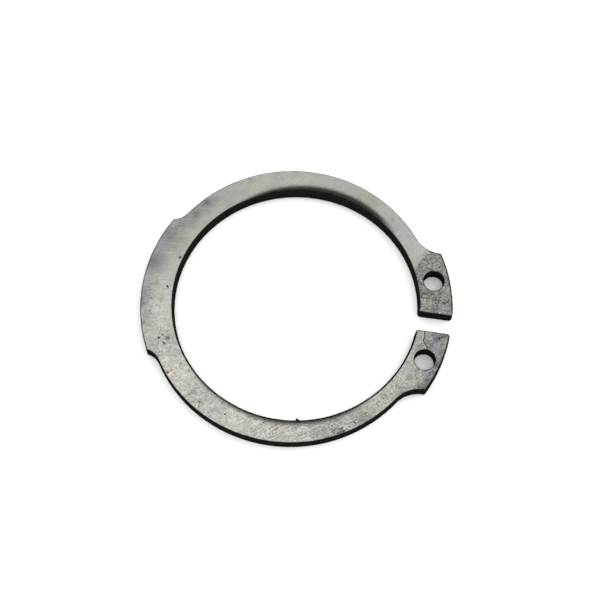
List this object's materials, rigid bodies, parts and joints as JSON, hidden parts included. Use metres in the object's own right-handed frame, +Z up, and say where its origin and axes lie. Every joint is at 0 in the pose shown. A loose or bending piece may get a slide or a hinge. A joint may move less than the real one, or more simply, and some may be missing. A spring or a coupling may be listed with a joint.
{
  "type": "circlip retaining ring",
  "caption": "Flat open retaining ring that springs into a shaft groove, with holed plier lugs beside its gap and a raised pad at the back.",
  "frame": {"origin": "centre of the bore, on the lower face the ring lies on", "axes": "+Z up through the thickness, along the shaft; +X out through the gap between the lugs; +Y to the left of that"},
  "size_m": [0.0377, 0.0354, 0.0016],
  "materials": {
    "ring_steel": "ground flat faces, semi-glossy with fine scratches; edges and walls left near-black from hardening"
  },
  "bodies": {
    "root": {"ring": "ring_steel"}
  },
  "joints": []
}
